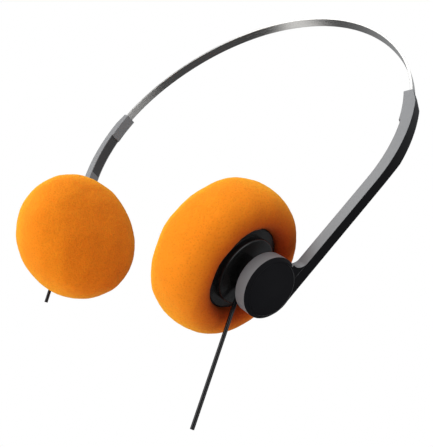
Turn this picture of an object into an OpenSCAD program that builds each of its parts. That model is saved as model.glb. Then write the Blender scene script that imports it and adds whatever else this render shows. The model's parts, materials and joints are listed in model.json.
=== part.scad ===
// Light on-ear stereo headphones: sprung steel headband, two sliding arms with
// round end drums, two ear capsules on ball joints, and round foam pads.
// Millimetres. +Z is up, X runs from ear to ear, the wearer faces -Y, so +X is the left ear.
// The origin is the midpoint between the centres of the two foam pads.

/* [Headband] */
// Radius of the band's two side arcs, along which the arms slide
side_radius = 66; // [64:0.5:68]
// Distance of each side arc's centre from the middle plane
side_centre_x = 10; // [9:0.1:11]
// Angle above horizontal at which a side arc meets the crown arc
crown_start_deg = 36; // [32:1:44]
// Width of the steel strip
band_w = 3.8; // [3.6:0.1:3.8]
// Thickness of the steel strip
band_t = 0.8; // [0.6:0.1:0.8]

/* [Arms] */
// Angle above horizontal of an arm's mouth at rest
mouth_deg = 15; // [13:1:16]
// How far an arm pulls out along the band from rest
travel_out = 12; // [8:1:12]
// How far an arm pushes in along the band from rest
travel_in = 7; // [4:1:7]
// Width of an arm, front to back
arm_w = 5.2; // [5.2:0.1:5.6]
// Thickness of an arm
arm_t = 3.6; // [3.6:0.1:4]
// Length of the closed collar at an arm's mouth
collar_len = 14; // [12:0.5:14]
// Length of the straight lower part of an arm
arm_straight = 47; // [44:0.5:50]
// Radius of the round drum at the end of an arm
drum_r = 9.8; // [9.6:0.1:10.4]
// Thickness of the drum
drum_t = 5; // [5:0.1:5.2]

/* [Ear capsules] */
// How far a drum's outward axis points below horizontal
lean_deg = 20; // [18:1:22]
// How far a capsule's outward axis is turned towards the back at rest
toe_deg = 10; // [6:1:12]
// Distance from a pad's centre to the outer face of its drum
capsule_reach = 21.2; // [21.2:0.1:21.6]
// Radius of the capsule's flange, which the foam pad grips
capsule_r = 21.3; // [21.3:0.1:21.6]

/* [Foam pads] */
// Outer radius of a pad
pad_r = 26; // [26:0.1:27]
// Thickness of a pad
pad_t = 25; // [24.6:0.1:25]
// Radius of the rounding around a pad's edge
pad_round = 11; // [10.5:0.1:11]
// Radius of the opening in a pad's back
pad_mouth_r = 14; // [14:0.1:14.4]

/* [Leads] */
// Outer radius of a lead's jacket
lead_r = 0.65; // [0.6:0.05:0.65]
// Length of the straight hanging part of the left lead
left_lead_len = 38; // [25:1:60]
// Length of the straight hanging part of the right lead
right_lead_len = 15; // [10:1:60]
// Turn of the lead's outlet around the capsule, from straight down towards the back
outlet_turn_deg = 12; // [-20:1:20]
// Bend of the lead away from the capsule
lead_bend_deg = 18; // [10:1:40]

/* [Hidden] */
$fn = 96;
ROUND_FINE = 48;

// Clearances: sliding parts, ball joints and pressed parts
slide_gap = 0.1;
ball_gap = 0.05;
press_gap = 0.02;

// Drum and ball joint, measured from the drum's outer face inwards
cap_t = 0.9;
cap_r = drum_r - 1.3;
drum_chamfer = 1;
drum_floor = 1.3;
ball_depth = 3;
ball_r = 2;
liner_r = 2.8;
liner_mouth_r = 1.75;
stem_r = 1;
shank_r = 1.38;

// Band arcs: the crown arc is tangent to both side arcs
crown_shift = side_centre_x / cos(crown_start_deg);
crown_radius = side_radius + crown_shift;
out_deg = travel_out / side_radius * 180 / PI;
in_deg = travel_in / side_radius * 180 / PI;
collar_deg = collar_len / side_radius * 180 / PI;
stop_len = 4;
stop_deg = stop_len / side_radius * 180 / PI;
stop_room_deg = 0.3;
collar_start_deg = mouth_deg - collar_deg;
band_end_deg = collar_start_deg - out_deg - stop_deg - stop_room_deg;

// Places of the ball joint, the drum and the pad, for the +X side. The band and the arms
// stand behind the drums, so that an arm's back edge runs tangentially into its drum
swing = capsule_reach - ball_depth;
ball_y = swing * sin(toe_deg);
ball_z = -swing * cos(toe_deg) * sin(lean_deg);
outer_r = side_radius + arm_t / 2;
drum_x = side_centre_x + outer_r * cos(lean_deg) - arm_straight * sin(lean_deg);
drum_z = ball_z - ball_depth * sin(lean_deg);
ball_x = drum_x - ball_depth * cos(lean_deg);
side_centre_z = drum_z + outer_r * sin(lean_deg) + arm_straight * cos(lean_deg);
crown_centre_z = side_centre_z - crown_shift * sin(crown_start_deg);
arm_shift = drum_r - arm_w / 2 - 0.05;
arm_y = ball_y + arm_shift;

// Arm channel, cover and spring
collar_proud = 0.6;
channel_w = band_w + 0.6;
channel_half = 1.0;
channel_end_deg = band_end_deg - in_deg - 1;
bevel_deg = 5;
bevel_left = 0.8;
spring_t = 0.2;
spring_w = 3;
spring_half_len = 3.6;
spring_pocket = 0.8;
fillet_r = 4;

// Capsule stations along its axis: 0 is the pad's centre plane, + is away from the ear
front_z = -6.3;
plate_z = -4.5;
shoulder_z = 7.4;
step_z = 8.3;
rim_z = 10.4;
neck_z = 14.2;
shoulder_r = 13.6;
step_r = 11.1;
neck_r = 4.8;
wall = 1.3;
rim_round = 0.6;
boss_r = 3.2;
boss_z = 7;
nut_t = 0.6;
grille_r = 15.5;
grille_t = 0.8;
hole_r = 0.85;
hole_pitch = 3.1;
driver_r = 16;
yoke_r = 8.65;
board_z = 4.2;
board_t = 0.8;

// Lead outlet: a short beak on the capsule's neck, with a grommet in its end
outlet_z = 12.4;
beak_len = 5.6;
beak_r = 1.7;
outlet_r = 1.1;
grommet_flange = 0.5;
grommet_tail = 1.2;
drop_x = 4;
core_r = 0.34;
bend_r = 8;
bend_x = beak_len + grommet_flange + grommet_tail + 0.1;
joint_swell = 0.02;
foam_gap = 0.3;

// ---------- frames ----------

// The +X side is modelled once; the other side is its mirror image
module on_side(side) {
    if (side == "left") children();
    else mirror([1, 0, 0]) children();
}

// Origin at the centre of the side arc, in the plane of the band and the arms
module at_side_centre() {
    translate([side_centre_x, arm_y, side_centre_z]) children();
}

// Origin at the centre of the ball joint, local +Z outwards and local +X down the arm
module at_ball() {
    translate([ball_x, ball_y, ball_z]) rotate([0, 90 + lean_deg, 0]) children();
}

// The same directions, with the origin on the drum's outer face
module at_drum() {
    at_ball() translate([0, 0, ball_depth]) children();
}

// Origin at the pad's centre, with the capsule's own turn about the ball joint
module at_capsule() {
    at_ball() rotate([-toe_deg, 0, 0]) translate([0, 0, -swing]) children();
}

// ---------- shared shapes ----------

// Strip bent about the Y axis, from angle a0 to a1 above +X, between radii r0 and r1
module arc_strip(r0, r1, w, a0, a1) {
    rotate([90, 0, 0]) rotate([0, 0, a0]) rotate_extrude(angle = a1 - a0)
        translate([r0, -w / 2]) square([r1 - r0, w]);
}

// Points on an arc about (cx, cz) from angle a0 to a1, about one for each degree
function arc_points(cx, cz, r, a0, a1) =
    let (steps = max(1, round(abs(a1 - a0))))
    [for (i = [0 : steps]) let (a = a0 + (a1 - a0) * i / steps) [cx + r * cos(a), cz + r * sin(a)]];

// Plate whose outline is drawn in X and Z, centred on Y
module upright_plate(w) {
    translate([0, w / 2, 0]) rotate([90, 0, 0]) linear_extrude(w) children();
}

// Ring between two radii, from z0 to z1
module ring(r_in, r_out, z0, z1) {
    translate([0, 0, z0]) difference() {
        cylinder(r = r_out, h = z1 - z0);
        translate([0, 0, -1]) cylinder(r = r_in, h = z1 - z0 + 2);
    }
}

// ---------- headband ----------

// One edge of the strip, offset outwards from its middle line, from the +X end to the -X end
function band_edge(offset) = concat(
    arc_points(side_centre_x, side_centre_z, side_radius + offset, band_end_deg, crown_start_deg),
    arc_points(0, crown_centre_z, crown_radius + offset, crown_start_deg + 1, 179 - crown_start_deg),
    arc_points(-side_centre_x, side_centre_z, side_radius + offset,
               180 - crown_start_deg, 180 - band_end_deg)
);

function reversed(points) = [for (i = [len(points) - 1 : -1 : 0]) points[i]];

module headband() {
    color("silver") translate([0, arm_y, 0]) upright_plate(band_w)
        polygon(concat(band_edge(band_t / 2), reversed(band_edge(-band_t / 2))));
}

// Clip on the end of the strip that keeps the arm from pulling off
module band_stop(side) {
    half = channel_half - slide_gap;
    grip = band_t / 2 + press_gap;
    color("dimgray") on_side(side) at_side_centre() difference() {
        arc_strip(side_radius - half, side_radius + half, channel_w - 2 * slide_gap,
                  band_end_deg, band_end_deg + stop_deg);
        arc_strip(side_radius - grip, side_radius + grip, band_w + 2 * press_gap,
                  band_end_deg - 1, band_end_deg + stop_deg + 1);
    }
}

// ---------- arm ----------

// Web that blends the front edge of the straight bar into the round drum. It bites a
// little into both, and sits a little inside their faces, so that the pieces fuse cleanly
module drum_fillet() {
    bite = 0.05;
    edge_y = arm_shift - arm_w / 2;
    cy = edge_y - fillet_r + bite;
    cx = -sqrt(pow(drum_r + fillet_r - bite, 2) - pow(cy, 2));
    translate([0, 0, bite - arm_t]) linear_extrude(arm_t - 2 * bite) difference() {
        polygon([[0, 0], [cx, cy], [cx, edge_y + 1], [0, edge_y + 1]]);
        translate([cx, cy]) circle(r = fillet_r);
    }
}

// Drum blank with a chamfered outer edge
module drum_blank() {
    translate([0, 0, -drum_t]) cylinder(r = drum_r, h = drum_t - drum_chamfer);
    translate([0, 0, -drum_chamfer])
        cylinder(r1 = drum_r, r2 = drum_r - drum_chamfer, h = drum_chamfer);
}

// Seat for the cap, weight-saving groove, ball socket and its flared mouth
module drum_cavity() {
    groove_in = liner_r + 1.6;
    flare_h = 0.5;
    mouth_r = sqrt(pow(liner_r + ball_gap, 2) - pow(drum_t - ball_depth, 2));
    translate([0, 0, -cap_t]) cylinder(r = cap_r, h = cap_t + 1);
    ring(groove_in, cap_r - 0.6, -drum_t + drum_floor, -cap_t + 0.01);
    translate([0, 0, -ball_depth]) sphere(r = liner_r + ball_gap);
    translate([0, 0, -drum_t - 0.01])
        cylinder(r1 = mouth_r + 0.9, r2 = mouth_r + 0.1, h = flare_h);
}

// Side outline of the arm, from its mouth to the drum's axis
module arm_outline() {
    inner_r = side_radius - arm_t / 2;
    collar_r = inner_r - collar_proud;
    down = [-sin(lean_deg), -cos(lean_deg)];
    out = [cos(lean_deg), -sin(lean_deg)];
    end = arm_straight * down;
    polygon(concat(
        [(side_radius + bevel_left) * [cos(mouth_deg), sin(mouth_deg)]],
        arc_points(0, 0, outer_r, mouth_deg - bevel_deg, -lean_deg),
        [outer_r * out + end, inner_r * out + end],
        arc_points(0, 0, inner_r, -lean_deg, collar_start_deg),
        arc_points(0, 0, collar_r, collar_start_deg, mouth_deg)
    ));
}

// What the chamfer on the outer face's rear edge takes off, in line with the drum's chamfer.
// It fades out where the arm starts to curve.
module rear_chamfer() {
    inset = 0.05;
    line = arm_shift + arm_w / 2 - drum_chamfer - inset;
    spare = 1;
    depth = 3;
    translate([-1.3 * arm_straight, 0, 0]) rotate([90, 0, 90])
        linear_extrude(1.3 * arm_straight + spare)
            polygon([[line - spare, spare], [line + depth, spare], [line + depth, -depth]]);
}

module arm(side) {
    color([0.08, 0.08, 0.09]) on_side(side) difference() {
        union() {
            difference() {
                at_side_centre() upright_plate(arm_w) arm_outline();
                at_drum() rear_chamfer();
            }
            at_drum() {
                drum_fillet();
                drum_blank();
            }
        }
        at_side_centre() {
            // slot for the strip through the collar
            arc_strip(side_radius - band_t / 2 - slide_gap, side_radius + band_t / 2 + slide_gap,
                      band_w + 2 * slide_gap, collar_start_deg - 1, mouth_deg + 1);
            // channel below the collar, open to the inside
            arc_strip(side_radius - arm_t, side_radius + channel_half, channel_w,
                      channel_end_deg, collar_start_deg);
            // pocket for the friction spring
            arc_strip(side_radius - band_t / 2 - slide_gap - spring_pocket, side_radius,
                      spring_w + 2 * slide_gap, collar_start_deg + 1, mouth_deg - 1);
        }
        at_drum() drum_cavity();
    }
}

// Strip that closes the arm's channel from the inside
module channel_cover(side) {
    color([0.16, 0.16, 0.17]) on_side(side) at_side_centre()
        arc_strip(side_radius - arm_t / 2, side_radius - channel_half - slide_gap,
                  channel_w - 2 * press_gap, channel_end_deg, collar_start_deg);
}

// Bowed leaf that presses on the strip inside the collar
module friction_spring(side) {
    rise = spring_pocket + slide_gap - spring_t;
    bow = rise + pow(spring_half_len, 2) / (2 * side_radius);
    leaf_r = (pow(spring_half_len, 2) + pow(bow, 2)) / (2 * bow);
    half_deg = asin(spring_half_len / leaf_r);
    color("gainsboro") on_side(side) at_side_centre()
        rotate([0, -(collar_start_deg + mouth_deg) / 2, 0])
            translate([side_radius - band_t / 2 - press_gap - leaf_r, 0, 0])
                arc_strip(leaf_r - spring_t, leaf_r, spring_w, -half_deg, half_deg);
}

// Round cover that closes the drum, flush with its outer face
module drum_cap(side) {
    edge = 0.15;
    seat_r = cap_r - press_gap;
    color([0.05, 0.05, 0.055]) on_side(side) at_drum() {
        translate([0, 0, -cap_t]) cylinder(r = seat_r, h = cap_t - edge);
        translate([0, 0, -edge]) cylinder(r1 = seat_r, r2 = seat_r - edge, h = edge);
    }
}

// ---------- ball joint ----------

// Spherical bush between the drum's socket and the ball, cut flush at both ends
module socket_liner(side) {
    top = 1.6;
    bottom = drum_t - ball_depth - 0.1;
    color("ivory") on_side(side) at_ball() difference() {
        intersection() {
            sphere(r = liner_r);
            translate([0, 0, -bottom]) cylinder(r = liner_r + 1, h = bottom + top);
        }
        sphere(r = ball_r + ball_gap);
        translate([0, 0, -liner_r - 1]) cylinder(r = liner_mouth_r, h = liner_r + 1);
    }
}

module ball_stud(side) {
    flange_r = 2.3;
    flange_t = 0.6;
    tail = boss_z - nut_t - 0.6;
    color("lightsteelblue") on_side(side) at_capsule() union() {
        translate([0, 0, swing]) sphere(r = ball_r);
        translate([0, 0, neck_z]) cylinder(r = stem_r, h = swing - neck_z);
        translate([0, 0, neck_z]) cylinder(r = flange_r, h = flange_t);
        translate([0, 0, tail]) cylinder(r = shank_r, h = neck_z - tail);
    }
}

// Push-on washer that holds the stud from inside the capsule
module push_nut(side) {
    color("goldenrod") on_side(side) at_capsule()
        ring(shank_r + press_gap, boss_r, boss_z - nut_t, boss_z);
}

// ---------- capsule housing ----------

// Outside of the rear shell, as a half section
module rear_outline() {
    corner = 3.2;
    polygon([
        [0, 0], [capsule_r, 0],
        for (a = [0 : 15 : 90])
            [capsule_r - corner + corner * cos(a), shoulder_z - corner + corner * sin(a)],
        [shoulder_r, shoulder_z], [shoulder_r, step_z], [step_r, step_z],
        for (a = [0 : 15 : 90])
            [step_r - rim_round + rim_round * cos(a), rim_z - rim_round + rim_round * sin(a)],
        [neck_r, rim_z], [neck_r, neck_z], [0, neck_z]
    ]);
}

// Hollow of the rear shell, as a half section, around the stud's boss
module rear_hollow() {
    inner_r = capsule_r - wall;
    polygon([
        [0, -1], [inner_r, -1], [inner_r, shoulder_z - 3.2], [inner_r - 2, shoulder_z - wall],
        [shoulder_r - wall, shoulder_z - wall], [shoulder_r - wall, step_z - wall],
        [step_r - wall, step_z - wall], [step_r - wall, rim_z - wall],
        [boss_r, rim_z - wall], [boss_r, boss_z], [0, boss_z]
    ]);
}

// Radial beak on the neck, which holds the lead's grommet
module outlet_beak() {
    web_w = 2;
    rotate([0, 90, 0]) cylinder(r = beak_r, h = beak_len);
    translate([0, -web_w / 2, rim_z - outlet_z - 0.2])
        cube([beak_len - 0.3, web_w, outlet_z - rim_z + 0.2]);
}

// Way for the lead: in through the beak, then down into the capsule
module outlet_bore(r_in, r_drop) {
    translate([drop_x - r_drop, 0, 0]) rotate([0, 90, 0]) cylinder(r = r_in, h = beak_len);
    translate([drop_x, 0, -outlet_z + shoulder_z - 2]) cylinder(r = r_drop, h = outlet_z - shoulder_z + 2);
}

module rear_shell(side) {
    color([0.04, 0.04, 0.04]) on_side(side) at_capsule() difference() {
        union() {
            rotate_extrude() difference() {
                rear_outline();
                rear_hollow();
            }
            outlet_frame() outlet_beak();
        }
        translate([0, 0, boss_z - 1]) cylinder(r = shank_r + press_gap, h = neck_z);
        outlet_frame() outlet_bore(outlet_r, lead_r + 0.2);
    }
}

// Front plate that carries the driver and the grille
module baffle(side) {
    inner_r = capsule_r - wall;
    mouth_r = 14;
    edge = 1.5;
    lip_t = 1;
    lip_h = 1.2;
    color([0.07, 0.07, 0.07]) on_side(side) at_capsule() rotate_extrude() difference() {
        polygon([
            [mouth_r, plate_z], [mouth_r, front_z],
            for (a = [-90 : 15 : 0])
                [capsule_r - edge + edge * cos(a), front_z + edge + edge * sin(a)],
            [capsule_r, 0], [inner_r - press_gap, 0], [inner_r - press_gap, lip_h],
            [inner_r - lip_t, lip_h], [inner_r - lip_t, plate_z]
        ]);
        translate([0, front_z - 1]) square([grille_r + press_gap, grille_t + 1]);
    }
}

// Perforated disc in front of the driver
module grille(side) {
    rings = 4;
    color("dimgray") on_side(side) at_capsule() translate([0, 0, front_z]) difference() {
        cylinder(r = grille_r, h = grille_t);
        for (i = [0 : rings], k = [0 : max(0, 6 * i - 1)])
            rotate([0, 0, 60 * k / max(1, i)]) translate([i * hole_pitch, 0, -1])
                cylinder(r = hole_r, h = grille_t + 2, $fn = 6);
    }
}

// ---------- driver ----------

module driver_frame(side) {
    seat_r = 15.2;
    film = 0.2;
    color("gray") on_side(side) at_capsule() rotate_extrude() polygon([
        [13.4, plate_z + film], [seat_r, plate_z + film], [seat_r, plate_z],
        [driver_r, plate_z], [driver_r, -3.3], [14.6, -3.3], [10.4, 0.4], [10.4, 2.4],
        [yoke_r + press_gap, 2.4], [yoke_r + press_gap, -0.2], [9.6, -0.2], [13.4, -3.6]
    ]);
}

// Height of the diaphragm's front surface at radius r: a dome, a coil seat and a cone
function film_z(r) =
    r < 5.1 ? -4.0 + 0.9 * pow(r / 5.1, 2)
    : r < 13.5 ? -3.1 - 1.4 * sin(90 * (r - 5.1) / 8.4)
    : plate_z;

module diaphragm(side) {
    film = 0.18;
    radii = [0, 1.7, 3.4, 5.1, 6.5, 7.9, 9.3, 10.7, 12.1, 13.5, 15.1];
    last = len(radii) - 1;
    color("beige") on_side(side) at_capsule() rotate_extrude() polygon([
        for (i = [0 : last]) [radii[i], film_z(radii[i])],
        for (i = [last : -1 : 0]) [radii[i], film_z(radii[i]) + film]
    ]);
}

module voice_coil(side) {
    color("chocolate") on_side(side) at_capsule() ring(4.95, 5.2, -2.9, 0.6);
}

module pole_plate(side) {
    color("slategray") on_side(side) at_capsule()
        translate([0, 0, -1.2]) cylinder(r = 4.7, h = 1);
}

module magnet(side) {
    color("darkgray") on_side(side) at_capsule()
        translate([0, 0, -0.2]) cylinder(r = 4.4, h = 3);
}

module yoke(side) {
    color("lightslategray") on_side(side) at_capsule() {
        ring(5.6, yoke_r, -1.2, 2.8);
        translate([0, 0, 2.8]) cylinder(r = yoke_r, h = 1.4);
    }
}

module damping_felt(side) {
    felt_t = 1.2;
    color("darkolivegreen") on_side(side) at_capsule() difference() {
        ring(boss_r + press_gap, step_r - wall - press_gap, rim_z - wall - felt_t, rim_z - wall);
        outlet_frame() translate([drop_x, 0, -outlet_z]) cylinder(r = lead_r + 0.4, h = outlet_z);
    }
}

module terminal_board(side) {
    color("seagreen") on_side(side) at_capsule()
        translate([-4.5, -3, board_z]) cube([9, 6, board_t]);
}

// ---------- lead ----------

// Inside a capsule: origin on its axis at the outlet, local +X runs out through the outlet
module outlet_frame() {
    rotate([0, 0, outlet_turn_deg]) translate([0, 0, outlet_z]) children();
}

// Grommet pressed into the end of the beak
module strain_relief(side) {
    body_len = 0.9;
    flange_r = 1.6;
    color([0.1, 0.1, 0.1]) on_side(side) at_capsule() outlet_frame() rotate([0, 90, 0]) difference() {
        union() {
            translate([0, 0, beak_len - body_len]) cylinder(r = outlet_r - press_gap, h = body_len + 0.1);
            translate([0, 0, beak_len + press_gap]) cylinder(r = flange_r, h = grommet_flange);
            translate([0, 0, beak_len + grommet_flange]) cylinder(r1 = 1.2, r2 = 0.9, h = grommet_tail);
        }
        cylinder(r = lead_r + press_gap, h = 2 * beak_len);
    }
}

// Round rod along the lead's path: up from inside, out through the beak, a bend, then a
// straight hanging part
module lead_rod(r, drop, hanging) {
    translate([drop_x, 0, -drop]) cylinder(r = r, h = drop, $fn = ROUND_FINE);
    translate([drop_x, 0, 0]) sphere(r = r + joint_swell, $fn = ROUND_FINE);
    translate([drop_x, 0, 0]) rotate([0, 90, 0]) cylinder(r = r, h = bend_x - drop_x, $fn = ROUND_FINE);
    translate([bend_x, 0, bend_r]) rotate([90, 90, 0])
        rotate_extrude(angle = lead_bend_deg) translate([bend_r, 0]) circle(r = r, $fn = ROUND_FINE);
    translate([bend_x + bend_r * sin(lead_bend_deg), 0, bend_r * (1 - cos(lead_bend_deg))]) {
        rotate([0, 90 - lead_bend_deg, 0]) cylinder(r = r, h = hanging, $fn = ROUND_FINE);
        sphere(r = r + joint_swell, $fn = ROUND_FINE);
    }
}

function hanging_len(side) = side == "left" ? left_lead_len : right_lead_len;

module lead(side) {
    stripped = 2.4;
    drop = outlet_z - board_z - board_t - stripped;
    color([0.06, 0.06, 0.06]) on_side(side) at_capsule() outlet_frame() difference() {
        lead_rod(lead_r, drop, hanging_len(side));
        lead_rod(core_r + press_gap, drop + 1, hanging_len(side) + 1);
    }
}

module lead_core(side) {
    drop = outlet_z - board_z - board_t - 0.05;
    color("peru") on_side(side) at_capsule() outlet_frame() lead_rod(core_r, drop, hanging_len(side));
}

// ---------- foam pad ----------

module foam_pad(side) {
    flat = pad_t / 2 - pad_round;
    core = pad_r - pad_round;
    color("orange") on_side(side) at_capsule() rotate_extrude() difference() {
        union() {
            translate([0, -pad_t / 2]) square([core, pad_t]);
            translate([0, -flat]) square([pad_r, 2 * flat]);
            translate([core, flat]) intersection() {
                circle(r = pad_round);
                square(pad_round);
            }
            translate([core, -flat]) intersection() {
                circle(r = pad_round);
                translate([0, -pad_round]) square(pad_round);
            }
        }
        translate([-1, front_z - foam_gap])
            square([capsule_r + foam_gap + 1, shoulder_z - front_z + 2 * foam_gap]);
        translate([-1, 0]) square([pad_mouth_r + 1, pad_t]);
    }
}

headband();
band_stop("left");  // left_band_stop
arm("left");  // left_arm
channel_cover("left");  // left_channel_cover
friction_spring("left");  // left_friction_spring
drum_cap("left");  // left_drum_cap
socket_liner("left");  // left_socket_liner
ball_stud("left");  // left_ball_stud
push_nut("left");  // left_push_nut
rear_shell("left");  // left_rear_shell
baffle("left");  // left_baffle
grille("left");  // left_grille
driver_frame("left");  // left_driver_frame
diaphragm("left");  // left_diaphragm
voice_coil("left");  // left_voice_coil
pole_plate("left");  // left_pole_plate
magnet("left");  // left_magnet
yoke("left");  // left_yoke
damping_felt("left");  // left_damping_felt
terminal_board("left");  // left_terminal_board
strain_relief("left");  // left_strain_relief
lead("left");  // left_lead
lead_core("left");  // left_lead_core
foam_pad("left");  // left_foam_pad
band_stop("right");  // right_band_stop
arm("right");  // right_arm
channel_cover("right");  // right_channel_cover
friction_spring("right");  // right_friction_spring
drum_cap("right");  // right_drum_cap
socket_liner("right");  // right_socket_liner
ball_stud("right");  // right_ball_stud
push_nut("right");  // right_push_nut
rear_shell("right");  // right_rear_shell
baffle("right");  // right_baffle
grille("right");  // right_grille
driver_frame("right");  // right_driver_frame
diaphragm("right");  // right_diaphragm
voice_coil("right");  // right_voice_coil
pole_plate("right");  // right_pole_plate
magnet("right");  // right_magnet
yoke("right");  // right_yoke
damping_felt("right");  // right_damping_felt
terminal_board("right");  // right_terminal_board
strain_relief("right");  // right_strain_relief
lead("right");  // right_lead
lead_core("right");  // right_lead_core
foam_pad("right");  // right_foam_pad
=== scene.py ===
import json
import math

import bmesh
import bpy
from mathutils import Matrix, Vector, noise


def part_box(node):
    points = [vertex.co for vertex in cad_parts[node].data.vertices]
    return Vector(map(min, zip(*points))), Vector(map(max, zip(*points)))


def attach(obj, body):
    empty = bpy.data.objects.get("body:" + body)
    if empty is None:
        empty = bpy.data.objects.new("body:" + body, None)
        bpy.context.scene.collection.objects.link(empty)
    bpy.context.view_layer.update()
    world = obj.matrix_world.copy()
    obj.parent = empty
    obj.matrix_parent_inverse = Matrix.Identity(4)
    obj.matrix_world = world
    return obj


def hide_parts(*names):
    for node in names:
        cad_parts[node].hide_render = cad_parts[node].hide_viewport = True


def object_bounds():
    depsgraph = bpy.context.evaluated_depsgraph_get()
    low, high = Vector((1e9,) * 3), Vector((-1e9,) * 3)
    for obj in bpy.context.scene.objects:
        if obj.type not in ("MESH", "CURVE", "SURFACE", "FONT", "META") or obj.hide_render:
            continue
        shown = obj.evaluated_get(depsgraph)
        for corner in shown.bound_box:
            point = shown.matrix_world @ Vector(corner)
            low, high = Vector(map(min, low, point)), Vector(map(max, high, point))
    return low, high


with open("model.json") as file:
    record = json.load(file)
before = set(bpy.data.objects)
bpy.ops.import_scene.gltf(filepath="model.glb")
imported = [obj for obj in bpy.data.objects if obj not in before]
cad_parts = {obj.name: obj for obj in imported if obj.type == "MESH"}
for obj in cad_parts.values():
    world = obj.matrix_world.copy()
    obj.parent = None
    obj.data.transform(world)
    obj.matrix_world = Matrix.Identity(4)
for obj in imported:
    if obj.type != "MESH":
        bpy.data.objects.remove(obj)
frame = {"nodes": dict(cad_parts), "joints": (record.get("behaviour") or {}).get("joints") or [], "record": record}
CAD_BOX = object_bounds()

MM = 0.001
SIDES = ("left", "right")
NODES = frame["nodes"]
JOINTS = {joint["name"]: joint for joint in frame["joints"]}

# Foam pads: the free outer skin, the lip rolled into the opening and the hollow behind it
PAD_SEGMENTS = 300
FRONT_STEPS = 70
BACK_STEPS = 36
LIP_STEPS = 18
PAD_CROWN = 0.8 * MM
PAD_INSET = 0.5 * MM
PAD_FULLNESS = 2.6
LIP_DEPTH = 4.2 * MM
LIP_RADIUS = 3.6 * MM
LIP_BEVEL_WIDTH = 0.4 * MM
LIP_BEVEL_HEIGHT = 0.2 * MM
HOLLOW_BEVEL = 0.6 * MM

# How far past the hollow's walls and floor the skin is kept smooth
HOLLOW_MARGIN = 0.5 * MM
FLOOR_MARGIN = 0.3 * MM

# Unevenness of the skin: size and height of its soft lumps and of its fine grain
FOAM_LUMP_SIZE = 7 * MM
FOAM_LUMP = 0.28 * MM
FOAM_GRAIN_SIZE = 1.6 * MM
FOAM_GRAIN = 0.07 * MM

# Painted shade around the opening: its width, and over which shares of the half thickness it comes in
OPENING_SHADE_ATTRIBUTE = "opening"
OPENING_SHADE_REACH = 11 * MM
OPENING_SHADE_START = 0.2
OPENING_SHADE_FADE = 0.5

# Foam colours: two tones of the skin, the painted sheen of its rim, and the painted shade of its side away from
# the key light, of its opening and of its deepest hollows
FOAM_ORANGE = (0.80, 0.215, 0.007)
FOAM_LIGHT_ORANGE = (0.88, 0.260, 0.010)
FOAM_PAINTED_SHEEN_YELLOW = (0.84, 0.42, 0.013)
KEY_SHADE_ORANGE = (0.50, 0.055, 0.002)
OPENING_SHADE_BROWN = (0.26, 0.014, 0.001)
HOLLOW_SHADE_BROWN = (0.34, 0.028, 0.001)

# Moulded plastic of the arms: two greys of painted light on the sides, and the black of the outer face
ARM_LIT_GREY = (0.15, 0.153, 0.158)
ARM_LIT_PALE_GREY = (0.185, 0.188, 0.193)
ARM_BLACK = (0.006, 0.006, 0.007)
EDGE_ROUNDING = 0.25 * MM
GRAIN_SIZE = 0.25 * MM
GRAIN_DEPTH = 0.01 * MM

# Photograph's viewpoint, relative to the middle of the two ball joints
VIEW_AZIMUTH = math.radians(44.7)
VIEW_ELEVATION = math.radians(-24.1)
VIEW_ROLL = math.radians(27.2)
VIEW_DISTANCE = 203.5 * MM
VIEW_AIM_HEIGHT = 11.6 * MM
VIEW_AIM_SIDE = 19.9 * MM
VIEW_LENS = 44.05

# Floor: how far below the object it lies, where it fades out and how it glows; reach of the lights
FLOOR_DROP = 80 * MM
FLOOR_FADE_START = 0.15
FLOOR_FADE_END = 0.7
FLOOR_GLOW = 0.25
STUDIO_REACH = 0.9

# Brightness of the surround below and above, and how steeply up it changes between them
SURROUND_LOW = 0.08
SURROUND_HIGH = 0.45
SURROUND_LOW_RISE = -0.5
SURROUND_HIGH_RISE = 0.9


# ---------- node helpers ----------

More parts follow.
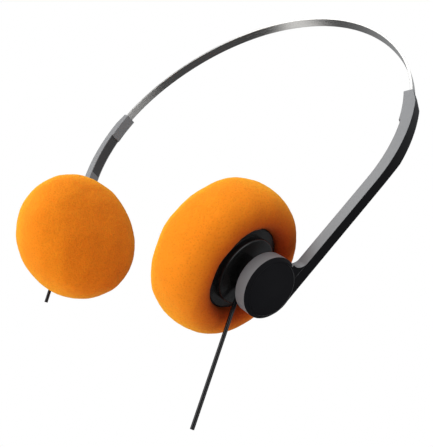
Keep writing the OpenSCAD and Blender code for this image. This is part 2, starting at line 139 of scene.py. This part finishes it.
class Shader:
    """A material's node tree with short calls to add and join nodes."""

    def __init__(self, name):
        self.material = bpy.data.materials.new(name)
        self.material.use_nodes = True
        self.tree = self.material.node_tree
        self.surface = self.tree.nodes["Principled BSDF"]
        self.coords = self.add("ShaderNodeTexCoord").outputs["Object"]

    def add(self, kind, **values):
        node = self.tree.nodes.new(kind)
        for key, value in values.items():
            if key in node.inputs:
                node.inputs[key].default_value = value
            else:
                setattr(node, key, value)
        return node

    def join(self, output, target):
        self.tree.links.new(output, target)

    def set(self, **values):
        for key, value in values.items():
            self.surface.inputs[key.replace("_", " ")].default_value = value

    def stretched(self, x, y, z):
        """Object coordinates, scaled differently along each axis."""
        mapping = self.add("ShaderNodeMapping")
        mapping.inputs["Scale"].default_value = (x, y, z)
        self.join(self.coords, mapping.inputs["Vector"])
        return mapping.outputs["Vector"]

    def calculate(self, operation, first, second=0.0):
        """A number worked out from one or two others, each an output or a plain number."""
        node = self.add("ShaderNodeMath", operation=operation)
        for socket, value in zip(node.inputs, (first, second)):
            if isinstance(value, float):
                socket.default_value = value
            else:
                self.join(value, socket)
        return node.outputs["Value"]

    def noise(self, size, detail=4.0, roughness=0.55, coords=None):
        """Noise whose features measure about size metres."""
        node = self.add("ShaderNodeTexNoise", Scale=1 / size, Detail=detail, Roughness=roughness)
        self.join(coords or self.coords, node.inputs["Vector"])
        return node.outputs["Fac"]

    def cells(self, size, feature="F1"):
        node = self.add("ShaderNodeTexVoronoi", Scale=1 / size, feature=feature)
        self.join(self.coords, node.inputs["Vector"])
        return node.outputs["Distance"]

    def remap(self, value, low, high, out_low, out_high):
        node = self.add("ShaderNodeMapRange")
        node.inputs["From Min"].default_value = low
        node.inputs["From Max"].default_value = high
        node.inputs["To Min"].default_value = out_low
        node.inputs["To Max"].default_value = out_high
        self.join(value, node.inputs["Value"])
        return node.outputs["Result"]

    def blend_colors(self, factor, first, second):
        node = self.add("ShaderNodeMix", data_type="RGBA")
        self.join(factor, node.inputs["Factor"])
        for socket, color in ((node.inputs["A"], first), (node.inputs["B"], second)):
            if isinstance(color, tuple):
                socket.default_value = (*color, 1)
            else:
                self.join(color, socket)
        return node.outputs["Result"]

    def darken(self, color, factor):
        """A colour multiplied by a factor."""
        node = self.add("ShaderNodeVectorMath", operation="SCALE")
        self.join(color, node.inputs[0])
        self.join(factor, node.inputs["Scale"])
        return node.outputs["Vector"]

    def color(self, output):
        self.join(output, self.surface.inputs["Base Color"])

    def roughness(self, output):
        self.join(output, self.surface.inputs["Roughness"])

    def round_edges(self, radius):
        """Shades the edges as if rounded to this radius."""
        node = self.add("ShaderNodeBevel", samples=6)
        node.inputs["Radius"].default_value = radius
        self.join(node.outputs["Normal"], self.surface.inputs["Normal"])

    def bump(self, height, depth, strength=1.0):
        """Raises the surface by height times depth metres, on top of any earlier bump."""
        node = self.add("ShaderNodeBump", Strength=strength, Distance=depth)
        self.join(height, node.inputs["Height"])
        before = self.surface.inputs["Normal"]
        if before.is_linked:
            self.join(before.links[0].from_socket, node.inputs["Normal"])
        self.join(node.outputs["Normal"], before)


# ---------- materials ----------

def foam_material():
    """Open-cell foam: fine pores, a painted yellow sheen at its rim, and painted shade in its hollows, around its
    opening and away from the key light.
    """
    s = Shader("foam")
    pores = s.cells(0.75 * MM)
    patches = s.noise(9 * MM, 3)
    tone = s.blend_colors(patches, FOAM_ORANGE, FOAM_LIGHT_ORANGE)
    # Painted sheen: the rim turns yellow where the surface faces away from the view
    painted_rim_sheen = s.add("ShaderNodeLayerWeight", Blend=0.35).outputs["Facing"]
    tone = s.blend_colors(s.remap(painted_rim_sheen, 0.35, 1.0, 0.0, 0.75), tone, FOAM_PAINTED_SHEEN_YELLOW)
    # Painted shade: burnt orange on the side facing away from the key light
    toward_light = s.add("ShaderNodeVectorMath", operation="DOT_PRODUCT")
    s.join(s.add("ShaderNodeNewGeometry").outputs["Normal"], toward_light.inputs[0])
    toward_light.inputs[1].default_value = key_direction()
    shade = s.remap(toward_light.outputs["Value"], -0.9, 0.0, 0.6, 0.0)
    tone = s.blend_colors(shade, tone, KEY_SHADE_ORANGE)
    # Painted shade: brown around the opening, read from the mark stored on the pad
    opening_shade = s.add("ShaderNodeAttribute", attribute_name=OPENING_SHADE_ATTRIBUTE).outputs["Fac"]
    tone = s.blend_colors(opening_shade, tone, OPENING_SHADE_BROWN)
    # Painted shade: brown where ambient occlusion finds the foam hemmed in
    hollow = s.add("ShaderNodeAmbientOcclusion", Distance=26 * MM, samples=8).outputs["AO"]
    tone = s.blend_colors(s.remap(hollow, 0.3, 0.8, 0.0, 1.0), HOLLOW_SHADE_BROWN, tone)
    pore_mask = s.remap(pores, 0.0, 0.45, 0.82, 1.0)
    s.color(s.darken(tone, pore_mask))
    s.bump(pores, 0.25 * MM, 0.5)
    s.bump(s.noise(0.35 * MM, 5), 0.12 * MM, 0.35)
    s.set(Roughness=0.92, Sheen_Weight=0.08, Sheen_Roughness=0.6, Specular_IOR_Level=0.12)
    s.set(Sheen_Tint=(1.0, 0.62, 0.12, 1), Subsurface_Weight=0.15, Subsurface_Scale=2.5 * MM)
    s.set(Subsurface_Radius=(1.0, 0.3, 0.06))
    return s.material


def steel_material(name, color, roughness, brushed):
    """Polished steel with faint marks along one direction."""
    s = Shader(name)
    s.round_edges(0.3 * MM)
    marks = s.noise(0.12 * MM, 3, coords=s.stretched(*brushed))
    blotches = s.noise(14 * MM, 2)
    s.color(s.blend_colors(marks, tuple(c * 0.93 for c in color), color))
    s.roughness(s.remap(marks, 0.3, 0.7, roughness * 0.75, roughness * 1.3))
    s.bump(marks, 0.004 * MM, 0.5)
    s.bump(blotches, 0.02 * MM, 0.25)
    s.set(Metallic=1.0)
    return s.material


def plastic_material(name, color, roughness, grain=GRAIN_SIZE, depth=GRAIN_DEPTH, coat=0.0, shine=0.5):
    """Moulded plastic: a fine eroded grain, slight colour drift and uneven gloss."""
    s = Shader(name)
    s.round_edges(EDGE_ROUNDING)
    fine = s.noise(grain, 4)
    broad = s.noise(11 * MM, 3)
    lighter = tuple(min(1.0, c * 1.5 + 0.004) for c in color)
    s.color(s.blend_colors(broad, color, lighter))
    s.roughness(s.remap(broad, 0.3, 0.7, roughness * 0.88, roughness * 1.12))
    s.bump(fine, depth, 0.8)
    s.set(Specular_IOR_Level=shine, Coat_Weight=coat, Coat_Roughness=0.2)
    return s.material


def outward_facing(s):
    """How far a face of an arm looks away from the head: 1 on the outer face, 0 on its sides.

    Outward is the direction away from the centre of the arm's arc and, past the arc's lower end,
    along the drum's axis.
    """
    hub = Vector(JOINTS["left_arm_extend"]["pos_m"])
    low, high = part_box("left_drum_cap")
    drum_axis = ((low + high) / 2 - Vector(JOINTS["left_capsule_tilt"]["pos_m"])).normalized()
    mirror = s.add("ShaderNodeVectorMath", operation="ABSOLUTE")
    s.join(s.coords, mirror.inputs[0])
    spoke = s.add("ShaderNodeVectorMath", operation="SUBTRACT")
    s.join(mirror.outputs["Vector"], spoke.inputs[0])
    spoke.inputs[1].default_value = (hub.x, 0, 0)
    position = s.add("ShaderNodeSeparateXYZ")
    s.join(s.coords, position.inputs["Vector"])
    reach = s.add("ShaderNodeSeparateXYZ")
    s.join(spoke.outputs["Vector"], reach.inputs["Vector"])
    rise = s.calculate("SUBTRACT", position.outputs["Z"], hub.z)
    slope = s.calculate("DIVIDE", rise, reach.outputs["X"])
    slope = s.calculate("MAXIMUM", slope, drum_axis.z / drum_axis.x)
    length = s.calculate("SQRT", s.calculate("ADD", s.calculate("MULTIPLY", slope, slope), 1.0))
    normal = s.add("ShaderNodeSeparateXYZ")
    s.join(s.add("ShaderNodeTexCoord").outputs["Normal"], normal.inputs["Vector"])
    side = s.calculate("SIGN", position.outputs["X"])
    across = s.calculate("MULTIPLY", normal.outputs["X"], side)
    along = s.calculate("MULTIPLY", normal.outputs["Z"], slope)
    return s.calculate("DIVIDE", s.calculate("ADD", across, along), length)


def arm_material():
    """Black satin moulding like the cap set into it: painted light makes its sides grey, and its outer face stays
    black and less shiny.
    """
    s = Shader("arm_plastic")
    s.round_edges(EDGE_ROUNDING)
    # Painted light: the sides are lightened to grey, and the black outer face also loses most of its reflection
    face = s.remap(outward_facing(s), 0.15, 0.6, 0.0, 1.0)
    broad = s.noise(11 * MM, 3)
    lit_side_grey = s.blend_colors(broad, ARM_LIT_GREY, ARM_LIT_PALE_GREY)
    s.color(s.blend_colors(face, lit_side_grey, ARM_BLACK))
    s.roughness(s.remap(broad, 0.3, 0.7, 0.36, 0.44))
    s.bump(s.noise(GRAIN_SIZE, 4), GRAIN_DEPTH, 0.8)
    s.join(s.remap(face, 0.0, 1.0, 0.5, 0.06), s.surface.inputs["Specular IOR Level"])
    return s.material


def rubber_material():
    """Smooth vinyl jacket with a slow waviness along the lead."""
    s = Shader("lead_rubber")
    waves = s.noise(5 * MM, 2)
    s.color(s.blend_colors(waves, (0.003, 0.003, 0.004), (0.006, 0.006, 0.007)))
    s.roughness(s.remap(waves, 0.3, 0.7, 0.16, 0.26))
    s.bump(s.noise(0.5 * MM, 3), 0.01 * MM, 0.6)
    s.set(Specular_IOR_Level=0.35)
    return s.material


def felt_material():
    s = Shader("felt")
    fibres = s.noise(0.25 * MM, 6, 0.7)
    s.color(s.blend_colors(fibres, (0.10, 0.11, 0.09), (0.26, 0.28, 0.22)))
    s.bump(fibres, 0.2 * MM, 0.9)
    s.set(Roughness=0.95, Sheen_Weight=0.3)
    return s.material


def wire_material(name, color, pitch):
    """Fine metal wire with rings at the given pitch."""
    s = Shader(name)
    turns = s.add("ShaderNodeTexWave", Scale=1 / pitch, Distortion=0.4, Detail=2.0)
    s.join(s.coords, turns.inputs["Vector"])
    rings = turns.outputs["Fac"]
    s.color(s.blend_colors(rings, tuple(c * 0.6 for c in color), color))
    s.bump(rings, 0.05 * MM, 0.6)
    s.set(Metallic=1.0, Roughness=0.32)
    return s.material


def board_material():
    s = Shader("board")
    weave = s.noise(0.6 * MM, 2, coords=s.stretched(1, 6, 1))
    s.color(s.blend_colors(weave, (0.01, 0.12, 0.05), (0.02, 0.22, 0.09)))
    s.bump(weave, 0.02 * MM, 0.5)
    s.set(Roughness=0.35, Coat_Weight=0.4)
    return s.material


def film_material():
    s = Shader("film")
    ripple = s.noise(2 * MM, 3)
    s.color(s.blend_colors(ripple, (0.55, 0.48, 0.30), (0.72, 0.66, 0.46)))
    s.bump(ripple, 0.04 * MM, 0.4)
    s.set(Roughness=0.2, Transmission_Weight=0.35)
    return s.material


def material_library():
    """One finished material for each material slot of the record."""
    along_band = (0.02, 1.0, 0.02)
    even = (1, 1, 1)
    return {
        "band_steel": steel_material("band_steel", (0.64, 0.63, 0.61), 0.22, along_band),
        "moulded_stop": plastic_material("moulded_stop", (0.03, 0.03, 0.03), 0.5),
        "arm_plastic": arm_material(),
        "cover_plastic": plastic_material("cover_plastic", (0.03, 0.03, 0.031), 0.5, 0.4 * MM, 0.02 * MM),
        "spring_steel": steel_material("spring_steel", (0.62, 0.62, 0.63), 0.3, along_band),
        "cap_plastic": plastic_material("cap_plastic", (0.004, 0.004, 0.005), 0.42, shine=0.06),
        "liner_plastic": plastic_material("liner_plastic", (0.62, 0.60, 0.52), 0.4),
        "stud_steel": steel_material("stud_steel", (0.6, 0.61, 0.63), 0.2, even),
        "brass": steel_material("brass", (0.72, 0.52, 0.22), 0.3, even),
        "shell_plastic": plastic_material(
            "shell_plastic", (0.004, 0.004, 0.004), 0.24, coat=0.5, shine=0.25),
        "grille_metal": plastic_material("grille_metal", (0.02, 0.02, 0.02), 0.45, 0.15 * MM),
        "frame_plastic": plastic_material("frame_plastic", (0.05, 0.05, 0.055), 0.5),
        "film": film_material(),
        "copper_coil": wire_material("copper_coil", (0.72, 0.33, 0.16), 0.9 * MM),
        "iron": steel_material("iron", (0.42, 0.43, 0.45), 0.35, even),
        "magnet": steel_material("magnet", (0.3, 0.31, 0.33), 0.28, even),
        "felt": felt_material(),
        "board": board_material(),
        "lead_rubber": rubber_material(),
        "copper_wire": wire_material("copper_wire", (0.76, 0.38, 0.2), 1.2 * MM),
        "foam": foam_material(),
    }


# ---------- CAD nodes ----------

# Nodes built from flat facets along a curve; the others come with exact normals
FACETED = ("headband", "arm", "channel_cover")
SMOOTH_ANGLE = math.radians(28)
WELD_GAP = 0.002 * MM


def short_name(node):
    """A node's name without its side."""
    for side in SIDES:
        node = node.removeprefix(side + "_")
    return node


def smooth_group():
    """Geometry nodes that shade a mesh smooth and keep an edge sharp where its faces turn sharply."""
    group = bpy.data.node_groups.new("smooth_by_angle", "GeometryNodeTree")
    group.interface.new_socket("Geometry", in_out="INPUT", socket_type="NodeSocketGeometry")
    group.interface.new_socket("Geometry", in_out="OUTPUT", socket_type="NodeSocketGeometry")
    start = group.nodes.new("NodeGroupInput")
    end = group.nodes.new("NodeGroupOutput")
    angle = group.nodes.new("GeometryNodeInputMeshEdgeAngle")
    sharp = group.nodes.new("FunctionNodeCompare")
    sharp.operation = "GREATER_THAN"
    sharp.inputs[1].default_value = SMOOTH_ANGLE
    faces = group.nodes.new("GeometryNodeSetShadeSmooth")
    faces.domain = "FACE"
    edges = group.nodes.new("GeometryNodeSetShadeSmooth")
    edges.domain = "EDGE"
    edges.inputs["Shade Smooth"].default_value = False
    group.links.new(start.outputs["Geometry"], faces.inputs["Geometry"])
    group.links.new(faces.outputs["Geometry"], edges.inputs["Geometry"])
    group.links.new(angle.outputs["Unsigned Angle"], sharp.inputs[0])
    group.links.new(sharp.outputs["Result"], edges.inputs["Selection"])
    group.links.new(edges.outputs["Geometry"], end.inputs["Geometry"])
    return group


def smooth_shading(obj, group):
    """Joins the facets of an imported mesh for shading. The mesh itself stays as it is."""
    for name in ("custom_normal", "sharp_edge", "sharp_face"):
        if name in obj.data.attributes:
            obj.data.attributes.remove(obj.data.attributes[name])
    weld = obj.modifiers.new("weld", "WELD")
    weld.merge_threshold = WELD_GAP
    smooth = obj.modifiers.new("smooth", "NODES")
    smooth.node_group = group


def finish_cad_nodes(library):
    slots = {part["node"]: part["material_slot"] for part in frame["record"]["subparts"]}
    group = smooth_group()
    for node, obj in NODES.items():
        obj.data.materials.clear()
        obj.data.materials.append(library[slots[node]])
        if short_name(node) in FACETED:
            smooth_shading(obj, group)


# ---------- foam pads ----------

# What counts as a wall of the pad's opening or hollow: how squarely it faces the axis, and how far out it is
WALL_FACING = 0.9
WALL_SHARE = 0.95


class Capsule:
    """Axis and measures of one ear capsule, read from its foam pad and its ball joint."""

    def __init__(self, side):
        low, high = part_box(f"{side}_foam_pad")
        self.centre = (low + high) / 2
        ball = Vector(JOINTS[f"{side}_capsule_tilt"]["pos_m"])
        self.axis = (ball - self.centre).normalized()
        self.down = self.axis.cross(Vector((0, 1, 0))).normalized()
        if self.down.z > 0:
            self.down.negate()
        self.across = self.axis.cross(self.down)
        mesh = NODES[f"{side}_foam_pad"].data
        outline = [self.polar(v.co) for v in mesh.vertices]
        self.radius = max(radius for radius, _ in outline)
        self.half = max(height for _, height in outline)
        walls = [outline[i] for face in mesh.polygons if self.faces_axis(face) for i in face.vertices]
        self.mouth = min(radius for radius, _ in walls)
        self.hollow_radius = max(radius for radius, _ in walls)
        heights = [height for radius, height in walls if radius > WALL_SHARE * self.hollow_radius]
        self.hollow_front = min(heights)
        self.hollow_back = max(heights)

    def polar(self, point):
        """Distance from the axis and height along it."""
        offset = point - self.centre
        height = offset.dot(self.axis)
        return (offset - self.axis * height).length, height

    def faces_axis(self, face):
        """Whether a face of the pad looks straight at the capsule's axis."""
        offset = face.center - self.centre
        outward = (offset - self.axis * offset.dot(self.axis)).normalized()
        return outward.dot(face.normal) < -WALL_FACING

    def place(self, radius, angle, height):
        """A point of the capsule, from its own polar coordinates."""
        out = self.down * math.cos(angle) + self.across * math.sin(angle)
        return self.centre + out * radius + self.axis * height


def arc(centre_r, centre_h, radius_r, radius_h, start, end, count, fullness=2.0):
    """Points (radius, height) along an arc of a half section, angles in degrees; 2 is an ellipse."""
    points = []
    for i in range(count + 1):
        angle = math.radians(start + (end - start) * i / count)
        across, along = math.cos(angle), math.sin(angle)
        bulge = 2 / fullness
        points.append((
            centre_r + radius_r * math.copysign(abs(across) ** bulge, across),
            centre_h + radius_h * math.copysign(abs(along) ** bulge, along),
        ))
    return points


def pad_section(capsule):
    """Half section of a pad: domed front, full round edge, lip rolled in to the opening, hollow."""
    radius = capsule.radius - PAD_INSET
    half = capsule.half - PAD_INSET
    ridge = capsule.mouth + LIP_RADIUS
    front = arc(0, 0, radius, half + PAD_CROWN, -90, 0, FRONT_STEPS, PAD_FULLNESS)
    back = arc(ridge, 0, radius - ridge, half, 0, 90, BACK_STEPS)[1:]
    lip = arc(ridge, half - LIP_DEPTH, LIP_RADIUS, LIP_DEPTH, 90, 180, LIP_STEPS)[1:]
    floor = capsule.hollow_back
    hollow = [
        (capsule.mouth, floor + LIP_BEVEL_HEIGHT),
        (capsule.mouth + LIP_BEVEL_WIDTH, floor),
        (capsule.hollow_radius - HOLLOW_BEVEL, floor),
        (capsule.hollow_radius, floor - HOLLOW_BEVEL),
        (capsule.hollow_radius, capsule.hollow_front + HOLLOW_BEVEL),
        (capsule.hollow_radius - HOLLOW_BEVEL, capsule.hollow_front),
        (capsule.hollow_radius * 0.5, capsule.hollow_front),
        (0, capsule.hollow_front),
    ]
    return front + back + lip + hollow


def revolve(name, section, capsule, segments):
    """Closed mesh of a half section turned about the capsule's axis; its ends lie on the axis."""
    mesh = bmesh.new()
    rings = []
    for radius, height in section:
        if radius < 1e-7:
            rings.append([mesh.verts.new(capsule.place(0, 0, height))])
        else:
            rings.append([
                mesh.verts.new(capsule.place(radius, 2 * math.pi * k / segments, height))
                for k in range(segments)
            ])
    for first, second in zip(rings, rings[1:]):
        for k in range(segments):
            nxt = (k + 1) % segments
            corners = [first[k % len(first)], first[nxt % len(first)],
                       second[nxt % len(second)], second[k % len(second)]]
            corners = [v for i, v in enumerate(corners) if v not in corners[:i]]
            mesh.faces.new(corners)
    bmesh.ops.recalc_face_normals(mesh, faces=mesh.faces)
    data = bpy.data.meshes.new(name)
    mesh.to_mesh(data)
    mesh.free()
    data.polygons.foreach_set("use_smooth", [True] * len(data.polygons))
    obj = bpy.data.objects.new(name, data)
    bpy.context.scene.collection.objects.link(obj)
    return obj


def relief(point, seed):
    """Height of the foam's uneven skin at a point: soft lumps and a fine grain."""
    shifted = point + Vector((seed, 0, 0))
    lumps = noise.noise(shifted / FOAM_LUMP_SIZE)
    grain = noise.noise(shifted / FOAM_GRAIN_SIZE)
    return FOAM_LUMP * lumps + FOAM_GRAIN * grain


def roughen(obj, capsule, seed):
    """Moves the outer skin of a pad along its normals; the hollow keeps its shape."""
    mesh = obj.data
    normals = [v.normal.copy() for v in mesh.vertices]
    for vertex, normal in zip(mesh.vertices, normals):
        radius, height = capsule.polar(vertex.co)
        inside = radius < capsule.hollow_radius + HOLLOW_MARGIN
        below_lip = capsule.hollow_front - HOLLOW_MARGIN < height < capsule.hollow_back + FLOOR_MARGIN
        if not (inside and below_lip):
            vertex.co += normal * relief(vertex.co, seed)


def mark_opening_shade(obj, capsule):
    """Stores how near each point of the back is to the opening, where the foam gets painted shade."""
    mesh = obj.data
    layer = mesh.attributes.new(OPENING_SHADE_ATTRIBUTE, "FLOAT", "POINT")
    for vertex, item in zip(mesh.vertices, layer.data):
        radius, height = capsule.polar(vertex.co)
        nearness = 1 - (radius - capsule.mouth) / OPENING_SHADE_REACH
        behind = min(1.0, max(0.0, (height / capsule.half - OPENING_SHADE_START) / OPENING_SHADE_FADE))
        item.value = min(1.0, max(0.0, nearness)) * behind


def foam_pad(side, library):
    capsule = Capsule(side)
    pad = revolve(f"{side}_foam_cover", pad_section(capsule), capsule, PAD_SEGMENTS)
    roughen(pad, capsule, seed=3.0 * SIDES.index(side))
    mark_opening_shade(pad, capsule)
    pad.data.materials.append(library["foam"])
    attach(pad, f"{side}_capsule")
    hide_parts(f"{side}_foam_pad")


# ---------- studio ----------

def view_axes():
    """Right, up and back directions of the photograph's camera."""
    a, e, r = VIEW_AZIMUTH, VIEW_ELEVATION, VIEW_ROLL
    back = Vector((math.sin(a) * math.cos(e), -math.cos(a) * math.cos(e), math.sin(e)))
    level = Vector((math.cos(a), math.sin(a), 0))
    upright = back.cross(level)
    right = level * math.cos(r) + upright * math.sin(r)
    up = upright * math.cos(r) - level * math.sin(r)
    return right, up, back


def key_direction():
    """From the object to the key light: upper left of the camera and a little in front."""
    right, up, back = view_axes()
    return (up * 0.50 - right * 0.85 + back * 0.30).normalized()


def make_camera():
    right, up, back = view_axes()
    joint = Vector(JOINTS["left_capsule_tilt"]["pos_m"])
    aim = Vector((0, joint.y, VIEW_AIM_HEIGHT)) + right * VIEW_AIM_SIDE
    camera = bpy.data.objects.new("camera", bpy.data.cameras.new("camera"))
    camera.data.lens = VIEW_LENS
    camera.data.clip_start = 1 * MM
    camera.data.clip_end = 20
    turn = Matrix((right, up, back)).transposed().to_4x4()
    camera.matrix_world = Matrix.Translation(aim + back * VIEW_DISTANCE) @ turn
    bpy.context.scene.collection.objects.link(camera)
    bpy.context.scene.camera = camera
    return aim


def softbox(name, aim, direction, size, power):
    """Area light at the studio's reach, facing the object."""
    data = bpy.data.lights.new(name, "AREA")
    data.shape = "RECTANGLE"
    data.size, data.size_y = size
    data.energy = power
    light = bpy.data.objects.new(name, data)
    outward = direction.normalized()
    light.location = aim + outward * STUDIO_REACH
    light.rotation_mode = "QUATERNION"
    light.rotation_quaternion = outward.to_track_quat("Z", "Y")
    bpy.context.scene.collection.objects.link(light)


def make_lights(aim):
    right, up, back = view_axes()
    softbox("key", aim, key_direction(), size=(1.2, 1.2), power=11)
    softbox("top", aim, Vector((-0.12, -0.62, 0.78)), size=(1.1, 1.1), power=6)
    softbox("card", aim, Vector((-0.55, 0.65, -0.45)), size=(0.5, 0.5), power=0.8)
    softbox("fill", aim, right * 0.8 - up * 0.1 + back * 0.7, size=(0.8, 0.8), power=2.8)


def make_world():
    """White to the camera; a surround that darkens downwards for light and reflections."""
    world = bpy.data.worlds.new("studio")
    world.use_nodes = True
    tree = world.node_tree
    tree.nodes.clear()
    seen = tree.nodes.new("ShaderNodeBackground")
    seen.inputs["Color"].default_value = (1, 1, 1, 1)
    around = tree.nodes.new("ShaderNodeBackground")
    around.inputs["Color"].default_value = (0.95, 0.97, 1.0, 1)
    where = tree.nodes.new("ShaderNodeTexCoord")
    split = tree.nodes.new("ShaderNodeSeparateXYZ")
    rise = tree.nodes.new("ShaderNodeMapRange")
    rise.interpolation_type = "SMOOTHSTEP"
    rise.inputs["From Min"].default_value = SURROUND_LOW_RISE
    rise.inputs["From Max"].default_value = SURROUND_HIGH_RISE
    rise.inputs["To Min"].default_value = SURROUND_LOW
    rise.inputs["To Max"].default_value = SURROUND_HIGH
    path = tree.nodes.new("ShaderNodeLightPath")
    mix = tree.nodes.new("ShaderNodeMixShader")
    output = tree.nodes.new("ShaderNodeOutputWorld")
    tree.links.new(where.outputs["Generated"], split.inputs["Vector"])
    tree.links.new(split.outputs["Z"], rise.inputs["Value"])
    tree.links.new(rise.outputs["Result"], around.inputs["Strength"])
    tree.links.new(path.outputs["Is Camera Ray"], mix.inputs["Fac"])
    tree.links.new(around.outputs["Background"], mix.inputs[1])
    tree.links.new(seen.outputs["Background"], mix.inputs[2])
    tree.links.new(mix.outputs["Shader"], output.inputs["Surface"])
    bpy.context.scene.world = world


def floor_material(centre):
    """Pale matt floor that fades into the white surround with distance and is open from below."""
    s = Shader("floor")
    s.color(s.blend_colors(s.noise(0.3, 3), (0.9, 0.9, 0.895), (0.93, 0.93, 0.925)))
    s.set(Roughness=0.8, Emission_Color=(1, 1, 1, 1), Emission_Strength=FLOOR_GLOW)
    distance = s.add("ShaderNodeVectorMath", operation="DISTANCE")
    s.join(s.coords, distance.inputs[0])
    distance.inputs[1].default_value = centre
    far = s.remap(distance.outputs["Value"], FLOOR_FADE_START, FLOOR_FADE_END, 0.0, 1.0)
    behind = s.add("ShaderNodeNewGeometry").outputs["Backfacing"]
    either = s.add("ShaderNodeMath", operation="MAXIMUM")
    s.join(far, either.inputs[0])
    s.join(behind, either.inputs[1])
    mix = s.add("ShaderNodeMixShader")
    output = s.tree.nodes["Material Output"]
    s.join(either.outputs["Value"], mix.inputs["Fac"])
    s.join(s.surface.outputs["BSDF"], mix.inputs[1])
    s.join(s.add("ShaderNodeBsdfTransparent").outputs["BSDF"], mix.inputs[2])
    s.join(mix.outputs["Shader"], output.inputs["Surface"])
    return s.material


def make_floor():
    """Plain pale floor, well below the object, which hangs clear as it does in the photograph."""
    low, high = CAD_BOX
    centre = ((low.x + high.x) / 2, (low.y + high.y) / 2, low.z - FLOOR_DROP)
    data = bpy.data.meshes.new("floor")
    half = FLOOR_FADE_END
    corners = [(-half, -half), (half, -half), (half, half), (-half, half)]
    data.from_pydata([(centre[0] + x, centre[1] + y, centre[2]) for x, y in corners], [], [(0, 1, 2, 3)])
    data.materials.append(floor_material(centre))
    floor = bpy.data.objects.new("floor", data)
    floor.visible_glossy = False
    bpy.context.scene.collection.objects.link(floor)


materials = material_library()
finish_cad_nodes(materials)
for side_name in SIDES:
    foam_pad(side_name, materials)
make_world()
make_floor()
make_lights(make_camera())
bpy.context.scene.view_settings.view_transform = "Standard"
